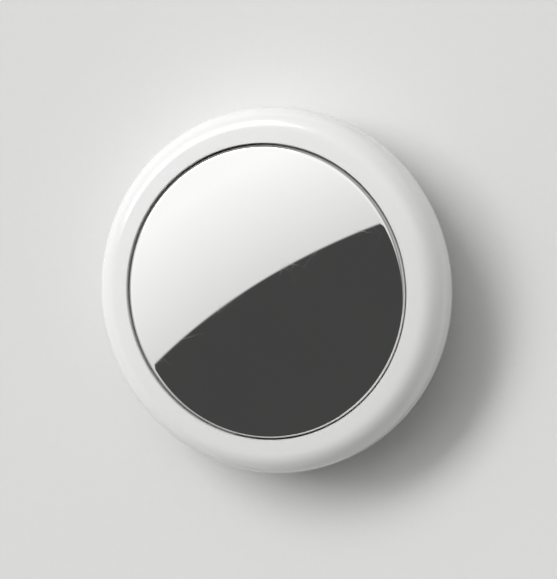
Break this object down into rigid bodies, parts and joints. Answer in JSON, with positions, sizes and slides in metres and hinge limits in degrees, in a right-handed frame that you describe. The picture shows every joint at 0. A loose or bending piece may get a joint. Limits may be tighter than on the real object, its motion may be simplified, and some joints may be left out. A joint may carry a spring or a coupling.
{
  "type": "bluetooth tracker tag",
  "caption": "Round coin-shaped tracker tag: glossy white plastic dome with a mirror-polished steel twist-off battery cover.",
  "frame": {"origin": "centre of the small flat foot in the middle of the plastic dome, where the tag rests when it lies steel side up", "axes": "+Z is the tag's own axis, from the plastic dome to the steel battery cover; +Y points to a bayonet lug with the cover unlocked"},
  "size_m": [0.0318, 0.0318, 0.008],
  "materials": {
    "white_plastic": "glossy injection-moulded polycarbonate",
    "inner_plastic": "fine moulded texture",
    "carrier_plastic": "matte moulded, with plated traces",
    "antenna_plating": "thin plated trace, satin",
    "adhesive": "die-cut adhesive film",
    "circuit_board": "satin solder mask over glass fibre",
    "chip_epoxy": "moulded epoxy, slightly rough",
    "shield_can": "satin nickel-silver sheet",
    "sensor_package": "moulded epoxy",
    "capacitor_ceramic": "fired ceramic with tinned ends",
    "resistor_ceramic": "black glaze with tinned ends",
    "ferrite": "dark sintered ferrite",
    "gold_plating": "smooth gold plate",
    "speaker_steel": "satin nickel plate",
    "magnet_nickel": "bright nickel plate",
    "copper_wire": "enamelled copper winding",
    "former_film": "amber film",
    "cell_steel": "fine-brushed nickel-plated steel",
    "gasket_plastic": "smooth moulded",
    "cathode_powder": "pressed powder",
    "separator_felt": "thin non-woven felt",
    "lithium": "dull soft metal",
    "foam": "closed-cell foam",
    "polished_steel": "mirror-polished stainless steel with very fine scratches"
  },
  "bodies": {
    "housing": {"outer_shell": "white_plastic", "battery_tray": "inner_plastic", "antenna_carrier": "carrier_plastic", "bluetooth_antenna": "antenna_plating", "ultrawideband_antenna": "antenna_plating", "nfc_antenna_coil": "antenna_plating", "carrier_adhesive_ring": "adhesive", "main_board": "circuit_board", "bluetooth_chip": "chip_epoxy", "ultrawideband_module": "shield_can", "flash_memory_chip": "chip_epoxy", "audio_amplifier_chip": "chip_epoxy", "power_converter_chip": "chip_epoxy", "motion_sensor": "sensor_package", "crystals": "shield_can", "capacitors": "capacitor_ceramic", "resistors": "resistor_ceramic", "inductors": "ferrite", "test_pads": "gold_plating", "contact_pads": "gold_plating", "speaker_yoke": "speaker_steel", "speaker_magnet": "magnet_nickel", "speaker_pole_plate": "speaker_steel", "voice_coil": "copper_wire", "coil_former": "former_film", "voice_coil_leads": "copper_wire"},
    "cover_pad": {"pad_carrier": "inner_plastic", "pressure_pad": "foam"},
    "cover": {"steel_cover": "polished_steel", "bayonet_ring": "inner_plastic", "cover_adhesive_ring": "adhesive"},
    "battery": {"battery_can": "cell_steel", "battery_cap": "cell_steel", "battery_gasket": "gasket_plastic", "battery_cathode": "cathode_powder", "battery_separator": "separator_felt", "battery_anode": "lithium"},
    "negative_contact": {"negative_contact": "gold_plating"},
    "positive_contact_left": {"positive_contact_left": "gold_plating"},
    "positive_contact_right": {"positive_contact_right": "gold_plating"}
  },
  "joints": [
    {"name": "cover_lift", "type": "slide", "parent": "housing", "child": "cover_pad", "axis": [0, 0, 1], "range_m": [0, 0.024]},
    {"name": "cover_twist", "type": "hinge", "parent": "cover_pad", "child": "cover", "pos_m": [0, 0, 0.0065], "axis": [0, 0, 1], "range_deg": [-20, 0]},
    {"name": "battery_lift", "type": "slide", "parent": "housing", "child": "battery", "axis": [0, 0, 1], "range_m": [0, 0.012]},
    {"name": "negative_contact_flex", "type": "hinge", "parent": "housing", "child": "negative_contact", "pos_m": [0, -0.009, 0.00287], "axis": [-1, 0, 0], "range_deg": [0, 2.5], "stiffness_Nm_per_rad": 0.07},
    {"name": "positive_contact_left_flex", "type": "hinge", "parent": "housing", "child": "positive_contact_left", "pos_m": [-0.00896, 0.00517, 0.00285], "axis": [-0.5, -0.866, 0], "range_deg": [0, 4], "stiffness_Nm_per_rad": 0.07},
    {"name": "positive_contact_right_flex", "type": "hinge", "parent": "housing", "child": "positive_contact_right", "pos_m": [0.00896, 0.00517, 0.00285], "axis": [-0.5, 0.866, 0], "range_deg": [0, 4], "stiffness_Nm_per_rad": 0.07}
  ],
  "couplings": [
    {"joint": "battery_lift", "follows": "cover_lift", "ratio": 0.5}
  ]
}
